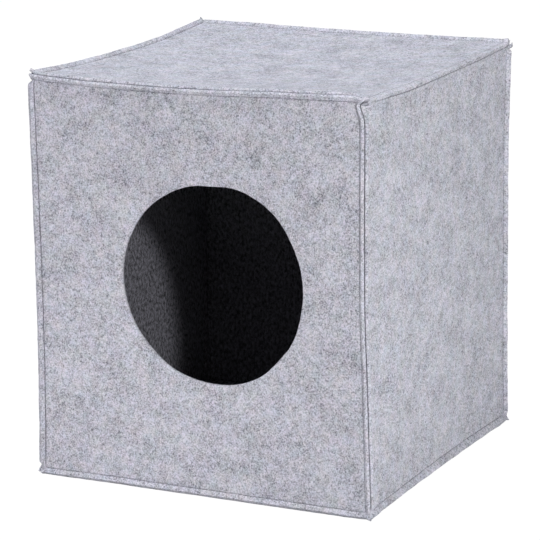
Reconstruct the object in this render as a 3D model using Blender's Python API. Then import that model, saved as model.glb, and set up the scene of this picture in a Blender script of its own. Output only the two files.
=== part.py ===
"""Cat cave bed: a soft box of six felt panels sewn edge to edge, with a round entrance in front.

Each panel's edges lean out at 45 degrees past the corners of the box, where they meet the
neighbour's edge and are sewn to it, so every edge of the box is a raised ridge of two felt
edges. A thin dark lining backs each panel, and a row of stitching lies in the valley on each
side of each ridge. Every piece is first laid out as a straight box and then settled: the top
sags, the upright edges draw in and the floor rests flat.

Units are metres. +Z is up, the entrance faces -Y, and the origin is on the ground under the
middle of the box.
"""

import math

import bmesh
import bpy
from mathutils import Vector

# Overall sizes, measured over the seam ridges
WIDTH = 0.330
DEPTH = 0.330
HEIGHT = 0.370

# Felt and seams
FELT_THICKNESS = 0.0030
SEAM_ALLOWANCE = 0.0056
SEAM_CLEARANCE = 0.00035

# Lining sheets behind the felt
LINING_THICKNESS = 0.0008
LINING_CLEARANCE = 0.0003

# Round entrance in the front panel, set off the panel's middle to the right and upwards
ENTRANCE_DIAMETER = 0.1764
ENTRANCE_SHIFT = 0.0157
ENTRANCE_RISE = 0.0089

# Stitching
THREAD_DIAMETER = 0.0008
THREAD_CLEARANCE = 0.0003
THREAD_END_MARGIN = 0.0035

# How far the slack felt sags along the top edges and in the middle of the top
SAG_TOP_FRONT = 0.0035
SAG_TOP_BACK = 0.0014
SAG_TOP_LEFT = 0.0044
SAG_TOP_RIGHT = 0.0024
SAG_TOP_MIDDLE = 0.0025

# How far the upright edges and the middles of the walls draw in at half height
DRAW_LEFT_FRONT = 0.0022
DRAW_LEFT_BACK = 0.0018
DRAW_RIGHT_FRONT = 0.0025
DRAW_RIGHT_BACK = 0.0014
DRAW_FRONT_MIDDLE = 0.0008
DRAW_BACK_MIDDLE = 0.0016

# The strip along the walls where the floor slopes down from the ridges to the ground
FLOOR_SLOPE = 0.050

# Shape of the settling: a higher power keeps the sag nearer the top, and the lean moves the
# deepest draw below half height
SAG_POWER = 3.0
DRAW_LEAN = 0.3

# Mesh fineness
PANEL_DIVISIONS = 12
ENTRANCE_DIVISIONS = 16
ENTRANCE_ROWS = 5
THREAD_POINTS = 12
THREAD_BEVEL_STEPS = 1

# Finishes: colour, roughness
FELT_COLOUR = (0.55, 0.565, 0.61)
LINING_COLOUR = (0.035, 0.035, 0.038)
THREAD_COLOUR = (0.13, 0.125, 0.15)
FELT_ROUGHNESS = 0.95
LINING_ROUGHNESS = 0.9
THREAD_ROUGHNESS = 0.6

# Sizes that follow from the ones above
ROOT_TWO = math.sqrt(2.0)
HALF_BEND = math.radians(22.5)
SEAM_OFFSET = SEAM_CLEARANCE / ROOT_TWO
SEAM_RISE = SEAM_ALLOWANCE / ROOT_TWO
FELT_LEAN = FELT_THICKNESS / ROOT_TWO
VALLEY_INSET = FELT_THICKNESS * math.tan(HALF_BEND)
RIDGE_REACH = SEAM_OFFSET + SEAM_RISE + FELT_LEAN
HALF_X = WIDTH / 2 - RIDGE_REACH
HALF_Y = DEPTH / 2 - RIDGE_REACH
HALF_Z = HEIGHT / 2 - RIDGE_REACH
MIDDLE_Z = HEIGHT / 2
FLOOR_DROP = RIDGE_REACH - SEAM_OFFSET - FELT_THICKNESS
ENTRANCE_RADIUS = ENTRANCE_DIAMETER / 2
LINING_BACKSET = LINING_CLEARANCE - SEAM_OFFSET
LINING_MITRE = LINING_CLEARANCE / ROOT_TWO
THREAD_RADIUS = THREAD_DIAMETER / 2
THREAD_STAND = (THREAD_RADIUS + THREAD_CLEARANCE) / math.cos(HALF_BEND)
MATCH = 1e-6


class Side:
    """One side of the straight box, with its own axes: across, up and out."""

    def __init__(self, name, across, up, half_across, half_up, reach, neighbours):
        self.name = name
        self.across = Vector(across)
        self.up = Vector(up)
        self.out = self.across.cross(self.up)
        self.half_across = half_across
        self.half_up = half_up
        self.reach = reach
        self.neighbours = neighbours

    def place(self, across, up, out):
        """The settled place of a point given in this side's own axes."""
        point = self.across * across + self.up * up + self.out * (self.reach + out)
        return settle(point + Vector((0.0, 0.0, MIDDLE_Z)))


SIDES = [
    Side("front", (1, 0, 0), (0, 0, 1), HALF_X, HALF_Z, HALF_Y, ("left", "right", "bottom", "top")),
    Side("back", (-1, 0, 0), (0, 0, 1), HALF_X, HALF_Z, HALF_Y, ("right", "left", "bottom", "top")),
    Side("left", (0, -1, 0), (0, 0, 1), HALF_Y, HALF_Z, HALF_X, ("back", "front", "bottom", "top")),
    Side("right", (0, 1, 0), (0, 0, 1), HALF_Y, HALF_Z, HALF_X, ("front", "back", "bottom", "top")),
    Side("top", (1, 0, 0), (0, 1, 0), HALF_X, HALF_Y, HALF_Z, ("left", "right", "front", "back")),
    Side("bottom", (1, 0, 0), (0, -1, 0), HALF_X, HALF_Y, HALF_Z, ("left", "right", "back", "front")),
]
SIDE_ORDER = [side.name for side in SIDES]


def blend(first, second, share):
    """A value between two others."""
    return first + (second - first) * share


def hump(share):
    """One in the middle of an edge and nothing at its ends, for a share from -1 to 1."""
    return max(1.0 - share * share, 0.0)


def floor_ramp(distance, half):
    """Nothing at a wall and one past the floor's slope."""
    return min(max((half - abs(distance)) / FLOOR_SLOPE, 0.0), 1.0)


def settle(point):
    """Moves a point of the straight box to where it lies in the slack one."""
    across = point.x / HALF_X
    along = point.y / HALF_Y
    lift = (point.z - MIDDLE_Z + HALF_Z) / (2 * HALF_Z)
    to_right = (1 + across) / 2
    to_back = (1 + along) / 2

    front_to_back = blend(SAG_TOP_FRONT, SAG_TOP_BACK, to_back)
    left_to_right = blend(SAG_TOP_LEFT, SAG_TOP_RIGHT, to_right)
    sag = hump(across) * front_to_back + hump(along) * left_to_right
    sag += hump(across) * hump(along) * SAG_TOP_MIDDLE
    sag *= max(lift, 0.0) ** SAG_POWER

    drop = FLOOR_DROP * floor_ramp(point.x, HALF_X) * floor_ramp(point.y, HALF_Y)
    drop *= 1.0 - min(max(lift, 0.0), 1.0)

    draw = 4 * lift * (1 - lift) * (1 + DRAW_LEAN * (1 - 2 * lift))
    draw = max(draw, 0.0)
    from_left = blend(DRAW_LEFT_FRONT, DRAW_LEFT_BACK, to_back)
    from_right = blend(DRAW_RIGHT_FRONT, DRAW_RIGHT_BACK, to_back)
    inward_x = blend(from_left, -from_right, to_right)
    inward_y = blend(DRAW_FRONT_MIDDLE, -DRAW_BACK_MIDDLE, to_back) * hump(across)
    return Vector((point.x + draw * inward_x, point.y + draw * inward_y, point.z - sag - drop))


def finish(name, colour, roughness):
    """A plain material for one kind of piece."""
    material = bpy.data.materials.new(name)
    material.use_nodes = True
    shader = material.node_tree.nodes["Principled BSDF"]
    shader.inputs["Base Color"].default_value = (*colour, 1.0)
    shader.inputs["Roughness"].default_value = roughness
    shader.inputs["Metallic"].default_value = 0.0
    material.diffuse_color = (*colour, 1.0)
    return material


def add_object(name, data, colour, roughness, root):
    """Puts a piece in the scene under the root, with its own material."""
    data.materials.append(finish(f"{name}_finish", colour, roughness))
    piece = bpy.data.objects.new(name, data)
    piece.parent = root
    bpy.context.scene.collection.objects.link(piece)


def add_sheet(name, side, sheet, colour, roughness, root):
    """Settles a sheet laid out in a side's own axes and adds it as a piece."""
    for vert in sheet.verts:
        vert.co = side.place(*vert.co)
    bmesh.ops.recalc_face_normals(sheet, faces=sheet.faces)
    if sheet.calc_volume(signed=True) < 0:
        bmesh.ops.reverse_faces(sheet, faces=sheet.faces)
    mesh = bpy.data.meshes.new(name)
    sheet.to_mesh(mesh)
    sheet.free()
    mesh.shade_smooth()
    mesh.set_sharp_from_angle(angle=math.radians(30))
    add_object(name, mesh, colour, roughness, root)


def plain_layout(half_across, half_up):
    """A flat grid that covers a side."""
    sheet = bmesh.new()
    bmesh.ops.create_grid(sheet, x_segments=PANEL_DIVISIONS, y_segments=PANEL_DIVISIONS, size=1.0)
    for vert in sheet.verts:
        vert.co = Vector((vert.co.x * half_across, vert.co.y * half_up, 0.0))
    return sheet


def outline_points(half_across, half_up):
    """Points evenly spaced round a side's outline, anticlockwise from its lower left corner."""
    corners = [(-1, -1), (1, -1), (1, 1), (-1, 1)]
    points = []
    for index, start in enumerate(corners):
        end = corners[(index + 1) % len(corners)]
        for step in range(ENTRANCE_DIVISIONS):
            share = step / ENTRANCE_DIVISIONS
            across = blend(start[0], end[0], share) * half_across
            up = blend(start[1], end[1], share) * half_up
            points.append(Vector((across, up, 0.0)))
    return points


def entrance_layout(half_across, half_up):
    """A flat sheet that covers a side but for the round entrance, in rings from hole to outline."""
    centre = Vector((ENTRANCE_SHIFT, ENTRANCE_RISE, 0.0))
    outline = outline_points(half_across, half_up)
    rim = [centre + (point - centre).normalized() * ENTRANCE_RADIUS for point in outline]
    sheet = bmesh.new()
    rings = []
    for row in range(ENTRANCE_ROWS + 1):
        share = row / ENTRANCE_ROWS
        rings.append([sheet.verts.new(inner.lerp(outer, share)) for inner, outer in zip(rim, outline)])
    for inner, outer in zip(rings, rings[1:]):
        for index, vert in enumerate(inner):
            after = (index + 1) % len(inner)
            sheet.faces.new((vert, outer[index], outer[after], inner[after]))
    return sheet


def edge_signs(vert, half_across, half_up):
    """Which outline edges a point lies on: -1, 0 or 1 across, and the same up."""
    on_across = abs(abs(vert.co.x) - half_across) < MATCH
    on_up = abs(abs(vert.co.y) - half_up) < MATCH
    sign_across = math.copysign(1.0, vert.co.x) if on_across else 0.0
    sign_up = math.copysign(1.0, vert.co.y) if on_up else 0.0
    return Vector((sign_across, sign_up, 0.0))


def close_rims(sheet, has_entrance):
    """Joins the two faces of a sheet along its outline, and round its entrance."""
    rim_edges = [edge for edge in sheet.edges if edge.is_boundary]
    if not has_entrance:
        bmesh.ops.bridge_loops(sheet, edges=rim_edges)
        return
    centre = Vector((ENTRANCE_SHIFT, ENTRANCE_RISE, 0.0))
    round_edges = []
    outer_edges = []
    for edge in rim_edges:
        start = edge.verts[0].co - centre
        is_round = Vector((start.x, start.y)).length < ENTRANCE_RADIUS + MATCH
        (round_edges if is_round else outer_edges).append(edge)
    bmesh.ops.bridge_loops(sheet, edges=round_edges)
    bmesh.ops.bridge_loops(sheet, edges=outer_edges)


def felt_panel(side, has_entrance, root):
    """A felt panel, with its edges turned out into the seams."""
    half_across = side.half_across
    half_up = side.half_up
    layout = entrance_layout if has_entrance else plain_layout
    sheet = layout(half_across, half_up)
    signs = {vert: edge_signs(vert, half_across, half_up) for vert in sheet.verts}
    outline = [edge for edge in sheet.edges if edge.is_boundary and signs[edge.verts[0]].length > 0]
    seam = bmesh.ops.extrude_edge_only(sheet, edges=outline)["geom"]
    for vert in (item for item in seam if isinstance(item, bmesh.types.BMVert)):
        sign = edge_signs(vert, half_across, half_up)
        vert.co += (sign + Vector((0.0, 0.0, 1.0))) * SEAM_RISE

    outer = bmesh.ops.duplicate(sheet, geom=sheet.verts[:] + sheet.edges[:] + sheet.faces[:])["geom"]
    for vert in (item for item in outer if isinstance(item, bmesh.types.BMVert)):
        if vert.co.z > MATCH:
            tip_sign = edge_signs(vert, half_across + SEAM_RISE, half_up + SEAM_RISE)
            vert.co += (Vector((0.0, 0.0, 1.0)) - tip_sign) * FELT_LEAN
        else:
            vert.co -= edge_signs(vert, half_across, half_up) * VALLEY_INSET
            vert.co.z += FELT_THICKNESS
    close_rims(sheet, has_entrance)
    bmesh.ops.translate(sheet, verts=sheet.verts, vec=(0.0, 0.0, SEAM_OFFSET))
    add_sheet(f"{side.name}_panel", side, sheet, FELT_COLOUR, FELT_ROUGHNESS, root)


def lining_sheet(side, has_entrance, root):
    """The lining behind a felt panel, with mitred edges that clear its neighbours."""
    half_across = side.half_across - LINING_BACKSET - LINING_MITRE
    half_up = side.half_up - LINING_BACKSET - LINING_MITRE
    layout = entrance_layout if has_entrance else plain_layout
    sheet = layout(half_across, half_up)
    inner = bmesh.ops.duplicate(sheet, geom=sheet.verts[:] + sheet.edges[:] + sheet.faces[:])["geom"]
    for vert in (item for item in inner if isinstance(item, bmesh.types.BMVert)):
        sign = edge_signs(vert, half_across, half_up)
        vert.co -= (sign + Vector((0.0, 0.0, 1.0))) * LINING_THICKNESS
    close_rims(sheet, has_entrance)
    bmesh.ops.translate(sheet, verts=sheet.verts, vec=(0.0, 0.0, -LINING_BACKSET))
    add_sheet(f"{side.name}_lining", side, sheet, LINING_COLOUR, LINING_ROUGHNESS, root)


def seam_name(side, neighbour):
    """A seam's name, the same from both of its panels."""
    return "_".join(sorted((side, neighbour), key=SIDE_ORDER.index))


def seam_thread(side, edge, root):
    """The row of stitching in the valley between a panel and one of its turned-out edges."""
    runs_up = edge < 2
    sign = 1.0 if edge % 2 else -1.0
    half_along = side.half_up if runs_up else side.half_across
    half_cross = side.half_across if runs_up else side.half_up
    half_run = half_along - VALLEY_INSET - THREAD_END_MARGIN
    inset = VALLEY_INSET + THREAD_STAND * math.sin(HALF_BEND)
    cross = sign * (half_cross - inset)
    out = SEAM_OFFSET + FELT_THICKNESS + THREAD_STAND * math.cos(HALF_BEND)

    name = f"thread_{seam_name(side.name, side.neighbours[edge])}_on_{side.name}"
    curve = bpy.data.curves.new(name, "CURVE")
    curve.dimensions = "3D"
    curve.bevel_depth = THREAD_RADIUS
    curve.bevel_resolution = THREAD_BEVEL_STEPS
    curve.use_fill_caps = True
    spline = curve.splines.new("POLY")
    spline.points.add(THREAD_POINTS - 1)
    for index, point in enumerate(spline.points):
        along = blend(-half_run, half_run, index / (THREAD_POINTS - 1))
        place = side.place(cross, along, out) if runs_up else side.place(along, cross, out)
        point.co = (*place, 1.0)
    add_object(name, curve, THREAD_COLOUR, THREAD_ROUGHNESS, root)


def clear_scene():
    """Removes whatever the scene holds."""
    for old in list(bpy.data.objects):
        bpy.data.objects.remove(old, do_unlink=True)


def build():
    """Makes every panel, lining and thread of the cave."""
    clear_scene()
    root = bpy.data.objects.new("cat_cave_bed", None)
    bpy.context.scene.collection.objects.link(root)
    for side in SIDES:
        has_entrance = side.name == "front"
        felt_panel(side, has_entrance, root)
        lining_sheet(side, has_entrance, root)
        for edge in range(len(side.neighbours)):
            seam_thread(side, edge, root)


build()
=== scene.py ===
"""Dresses the cat cave bed: felt panels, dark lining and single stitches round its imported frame.

Each felt panel is cut flat, with its seam allowance, and lies on its own stretch of one roll of
melange felt. Its edges are then folded out into the seams and the whole cave settles: the top
sags, the walls draw in and the floor rests flat. The linings and the stitches follow the same
folds, so every piece meets its neighbours.

Lengths are in metres. +Z is up and the entrance faces -Y.
"""

import logging
import math
from collections.abc import Sequence
from dataclasses import dataclass
from enum import Enum

import bpy
import numpy as np
from mathutils import Matrix, Vector

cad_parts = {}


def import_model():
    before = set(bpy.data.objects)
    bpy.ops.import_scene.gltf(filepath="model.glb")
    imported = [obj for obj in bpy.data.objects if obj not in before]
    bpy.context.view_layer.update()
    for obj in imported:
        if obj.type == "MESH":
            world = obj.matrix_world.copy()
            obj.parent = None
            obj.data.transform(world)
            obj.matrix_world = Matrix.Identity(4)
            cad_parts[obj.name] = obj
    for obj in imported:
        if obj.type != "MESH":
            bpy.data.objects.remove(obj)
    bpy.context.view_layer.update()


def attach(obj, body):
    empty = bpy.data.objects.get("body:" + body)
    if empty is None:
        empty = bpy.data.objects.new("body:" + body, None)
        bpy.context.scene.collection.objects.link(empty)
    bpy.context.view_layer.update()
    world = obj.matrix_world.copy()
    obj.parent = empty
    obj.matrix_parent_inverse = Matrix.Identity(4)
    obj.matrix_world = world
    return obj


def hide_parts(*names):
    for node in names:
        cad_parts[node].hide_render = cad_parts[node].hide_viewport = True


LOG = logging.getLogger("cat_cave_bed")
MM = 0.001
Array = np.ndarray
Triple = tuple[float, float, float]
Pair = tuple[float, float]

# Where each kind of random draw starts counting its seeds
WAVER_SEED = 20
TURN_SEED = 50
SLACK_SEED = 70
LUMP_SEED = 80
TIP_SEED = 300
TRIM_SEED = 400
FRAY_SEED = 420
STITCH_SEED = 900


# Small helpers

def blend(first: Array | float, second: Array | float, share: Array | float) -> Array | float:
    """A value between two others."""
    return first + (second - first) * share


def hump(share: Array) -> Array:
    """One in the middle and nothing at the ends, for a share from -1 to 1."""
    return np.maximum(1.0 - share * share, 0.0)


def ease(share: Array) -> Array:
    """A share from 0 to 1 that starts and stops gently."""
    held = np.clip(share, 0.0, 1.0)
    return held * held * (3.0 - 2.0 * held)


def through(values: Sequence[float], share: Array) -> Array:
    """A smooth curve through evenly spaced values.

    Args:
        values: What the curve passes through, from share 0 to share 1.
        share: Where along the curve to read it.

    Returns:
        The curve's value at each share.
    """
    line = np.asarray(values, float)
    ends = [2 * line[0] - line[1]], [2 * line[-1] - line[-2]]
    padded = np.concatenate([ends[0], line, ends[1]])
    place = np.clip(share, 0.0, 1.0) * (len(line) - 1)
    index = np.minimum(place.astype(int), len(line) - 2)
    part = place - index
    before, start, stop, after = (padded[index + step] for step in range(4))
    curve = 2 * start + (stop - before) * part
    curve += (2 * before - 5 * start + 4 * stop - after) * part**2
    curve += (3 * start - before - 3 * stop + after) * part**3
    return 0.5 * curve


@dataclass(frozen=True)
class Ripple:
    """A smooth irregular ripple, the sum of a few waves in mixed directions.

    Args:
        seed: Fixes the directions and phases.
        length: The middle wavelength.
        height: The ripple's root mean square height.
        waves: How many waves are summed.
    """

    seed: int
    length: float
    height: float
    waves: int = 7

    def at(self, across: Array, up: Array | float = 0.0) -> Array:
        """The ripple's height at each place of a flat sheet, or along a line.

        Args:
            across: The places across the sheet, or along the line.
            up: The places up the sheet, or which of several lines it is.

        Returns:
            The height at each place.
        """
        draw = np.random.default_rng(self.seed)
        total = np.zeros(np.shape(across))
        for _ in range(self.waves):
            turn, phase = draw.uniform(0.0, 2 * math.pi, 2)
            pace = 2 * math.pi / (self.length * draw.uniform(0.6, 1.7))
            total = total + np.sin(pace * (across * math.cos(turn) + up * math.sin(turn)) + phase)
        return self.height * math.sqrt(2.0 / self.waves) * total


# The cave's shape

class Side(Enum):
    """The six sides of the box, each with its name and its across and up directions."""

    FRONT = "front", (1, 0, 0), (0, 0, 1)
    BACK = "back", (-1, 0, 0), (0, 0, 1)
    LEFT = "left", (0, -1, 0), (0, 0, 1)
    RIGHT = "right", (0, 1, 0), (0, 0, 1)
    TOP = "top", (1, 0, 0), (0, 1, 0)
    BOTTOM = "bottom", (1, 0, 0), (0, -1, 0)

    def __init__(self, label: str, across: Triple, up: Triple) -> None:
        """Keeps the side's name and axes.

        Args:
            label: The side's name.
            across: The direction across it, to the right when it is faced.
            up: The direction up it.
        """
        self.label = label
        self.across = np.array(across, float)
        self.up = np.array(up, float)
        self.out = np.cross(self.across, self.up)

    @property
    def number(self) -> int:
        """The side's own number, for its own ripples."""
        return list(Side).index(self)

    def facing(self, direction: Array) -> "Side":
        """The side whose outward direction is the one given."""
        return next(side for side in Side if np.allclose(side.out, direction))


# How far from the end of a seam its ridge is drawn in most, and over what length
PINCH_PLACE = 2.6 * MM
PINCH_REACH = 1.7 * MM

# The length over which a seam's turn and its waver are read, about that of the seam itself
TURN_SPAN = 0.35
WAVER_SPAN = 0.33

# How soon the waver starts at a seam's ends: this many times its length
WAVER_TAPER = 12


@dataclass(frozen=True)
class Seam:
    """One edge of the box, where two panels are sewn together.

    Args:
        first: The panel that comes first in the measures below.
        second: The other panel.
        push_first: How far the seam stands out along the first panel's outward direction at a
            quarter, a half and three quarters of its length, in millimetres.
        push_second: The same along the second panel's outward direction.
        lean: The turn of the ridge towards the second panel's outward direction at the start,
            the middle and the end, in degrees from halfway between the two panels.
        reach: How far the ridge stands out at the start, the middle and the end, as a share of
            the seam allowance.
        pinch: How much of that is drawn in close to the start and the end.
        gap: The opening between the two cut edges, in millimetres.
        thread: How thick the stitches look on the first and the second panel, as the thread's
            radius in millimetres.
        press: How far the stitches press each panel's felt together, as a share.
    """

    first: Side
    second: Side
    push_first: Triple
    push_second: Triple
    lean: Triple
    reach: Triple = (1.0, 1.0, 1.0)
    pinch: Pair = (0.0, 0.0)
    gap: float = 0.35
    thread: Pair = (0.34, 0.34)
    press: Pair = (0.24, 0.24)

    @property
    def name(self) -> str:
        """The seam's name, from its two sides in their usual order."""
        pair = sorted((self.first, self.second), key=lambda side: side.number)
        return "_".join(side.label for side in pair)

    @property
    def middle(self) -> Array:
        """The middle of the seam, as signs along x, y and z."""
        return self.first.out + self.second.out

    @property
    def along(self) -> Array:
        """The seam's direction, towards +x, +y or +z."""
        return 1.0 - np.abs(self.middle)

    @property
    def number(self) -> int:
        """The seam's own number, for its own ripples."""
        return [seam.name for seam in SEAMS].index(self.name)

    def fold(self, side: Side, share: Array) -> Array:
        """How far a panel's edge is turned out into this seam.

        Args:
            side: The panel.
            share: Where along the seam, from 0 to 1.

        Returns:
            The turn out of the panel's own plane, in radians.
        """
        ripple = Ripple(TURN_SEED + self.number, length=0.16, height=1.2)
        uneven = ripple.at(share * TURN_SPAN)
        towards = np.radians(45.0 + through(self.lean, share) + uneven)
        return towards if side is self.second else math.pi / 2 - towards

    def stand(self, share: Array, length: float) -> Array:
        """How far the ridge stands out, as a share of the seam allowance.

        Args:
            share: Where along the seam, from 0 to 1.
            length: The seam's length.

        Returns:
            The share at each place.
        """
        factor = through(self.reach, share)
        for past, depth in zip((share, 1 - share), self.pinch, strict=True):
            off = (past * length - PINCH_PLACE) / PINCH_REACH
            factor = factor - depth * np.exp(-(off**2))
        return factor


SEAMS = (
    Seam(Side.FRONT, Side.LEFT, (-0.18, -0.13, 0.02), (-0.29, -0.21, 0.02), (0.4, -1.8, -0.6),
         (1.0, 1.0, 0.88), (0.35, 0.55), 0.08, (0.42, 0.34), (0.34, 0.24)),
    Seam(Side.FRONT, Side.RIGHT, (-0.18, 0.22, 0.06), (0.75, -0.14, 0.25), (9.9, -2.6, -4.6),
         pinch=(0.2, 0.45), gap=1.25, thread=(0.20, 0.30), press=(0.12, 0.20)),
    Seam(Side.RIGHT, Side.BACK, (0.02, 0.09, -0.05), (0.01, -0.2, -2.2), (-8.7, -7.0, -2.0),
         (1.12, 1.12, 1.22), (0.0, 0.3), 0.2, (0.85, 0.34), (0.75, 0.24)),
    Seam(Side.LEFT, Side.BACK, (0.2, -0.2, 0.1), (0.1, 0.3, -0.1), (4.0, -3.0, 2.0)),
    Seam(Side.FRONT, Side.BOTTOM, (-0.21, -0.16, -0.10), (-0.25, -0.12, 0.0), (9.0, 8.0, 9.0),
         gap=0.2),
    Seam(Side.RIGHT, Side.BOTTOM, (-1.1, -1.3, -0.9), (-1.9, -2.2, -1.7), (3.2, 3.4, -2.6),
         reach=(1.15, 1.36, 1.32), gap=0.2),
    Seam(Side.BACK, Side.BOTTOM, (-0.3, 0.1, -0.2), (-0.2, -0.4, -0.2), (2.0, -2.0, 3.0)),
    Seam(Side.LEFT, Side.BOTTOM, (-0.2, -0.4, -0.1), (-0.3, -0.3, -0.1), (1.0, 3.0, -2.0)),
    Seam(Side.FRONT, Side.TOP, (0.0, -0.08, -0.21), (-0.55, -0.15, 0.6), (-2.4, -1.1, 12.3),
         (1.07, 1.07, 1.07), gap=0.62, thread=(0.42, 0.34), press=(0.34, 0.24)),
    Seam(Side.RIGHT, Side.TOP, (0.54, 0.24, 0.07), (-2.2, -1.5, -0.9), (-54.1, -46.1, -39.3),
         gap=0.22, thread=(0.34, 0.10), press=(0.24, 0.0)),
    Seam(Side.LEFT, Side.TOP, (-0.08, -0.18, -0.24), (-0.9, -1.2, -1.35), (-0.1, 0.7, 1.2),
         (1.1, 1.12, 1.12), gap=0.2),
    Seam(Side.BACK, Side.TOP, (0.11, 0.06, 0.02), (0.62, 0.37, 0.13), (0.8, 0.2, 0.1), gap=0.2),
)

# How far each corner of the box stands off its regular place, in millimetres
CORNER_SHIFTS = {
    (-1, -1, 1): (0.39, 0.17, -0.37),
    (1, -1, 1): (-0.93, -0.32, 0.57),
    (1, 1, 1): (-0.62, -0.34, -0.52),
    (-1, 1, 1): (0.73, 0.56, 1.07),
    (-1, -1, -1): (-0.19, -0.25, -0.34),
    (1, -1, -1): (1.70, 0.55, 0.01),
    (1, 1, -1): (-0.59, -0.37, -0.43),
    (-1, 1, -1): (0.10, -0.20, 0.0),
}

# How far the middle of each panel bulges out of its seams, in millimetres
DOMES = {
    Side.FRONT: -3.2,
    Side.BACK: -1.5,
    Side.LEFT: 1.5,
    Side.RIGHT: 3.0,
    Side.TOP: 0.0,
    Side.BOTTOM: 0.0,
}

# How far the tip of each corner is pulled aside, in millimetres
CORNER_PULLS = {
    (-1, -1, 1): (2.2, 2.2, -0.3),
    (1, -1, 1): (-0.6, 0.6, -0.6),
    (1, 1, 1): (-1.4, -0.8, 0.3),
    (-1, 1, 1): (0.6, -0.6, -0.5),
    (-1, -1, -1): (1.4, 1.0, 0.5),
    (1, -1, -1): (-0.6, 0.6, 0.4),
    (1, 1, -1): (-1.9, -1.7, 0.5),
    (-1, 1, -1): (0.8, -0.8, 0.5),
}

# What is added to that for one panel's own tip
TIP_PULLS = {
    (Side.TOP, (1, -1, 1)): (0.6, -0.6, -3.2),
    (Side.FRONT, (1, -1, 1)): (2.2, -0.6, -2.2),
    (Side.RIGHT, (1, -1, 1)): (2.6, -0.6, 0.6),
    (Side.LEFT, (-1, -1, 1)): (1.6, 0.0, -1.0),
    (Side.RIGHT, (1, -1, -1)): (-2.4, -0.6, 0.8),
    (Side.BOTTOM, (-1, 1, -1)): (0.5, -0.5, 2.0),
    (Side.BACK, (-1, 1, -1)): (-0.8, -1.2, 0.4),
    (Side.LEFT, (-1, 1, -1)): (1.2, 0.8, 0.4),
}


@dataclass(frozen=True)
class Nudge:
    """A place near a corner where the felt is dragged aside, in millimetres.

    Args:
        corner: The nearest box corner, as signs.
        centre: The place's offset from that corner.
        below: How far the drag reaches towards lower x, y and z.
        above: How far it reaches towards higher x, y and z.
        shift: The drag.
    """

    corner: Triple
    centre: Triple
    below: Triple
    above: Triple
    shift: Triple

    def of(self, points: Array) -> Array:
        """The drag at each point.

        Args:
            points: Places in the box, measured from the corner.

        Returns:
            The drag of each, in metres.
        """
        off = points - np.array(self.centre) * MM
        reach = np.where(off < 0, np.array(self.below), np.array(self.above)) * MM
        weight = np.exp(-np.sum((off / reach) ** 2, axis=1))
        return weight[:, None] * np.array(self.shift) * MM


NUDGES = (
    Nudge((1, -1, 1), (1.5, -1.5, -2.5), (13, 13, 9.3), (13, 16, 4.0), (-5.3, 0.0, 0.0)),
    Nudge((1, -1, 1), (1.5, 5.0, 2.0), (16, 8, 8), (10, 24, 10), (3.8, 0.0, -1.6)),
    Nudge((1, -1, -1), (0.0, 22.0, 0.0), (14, 16, 12), (14, 22, 14), (0.0, 0.0, 1.3)),
)


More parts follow.
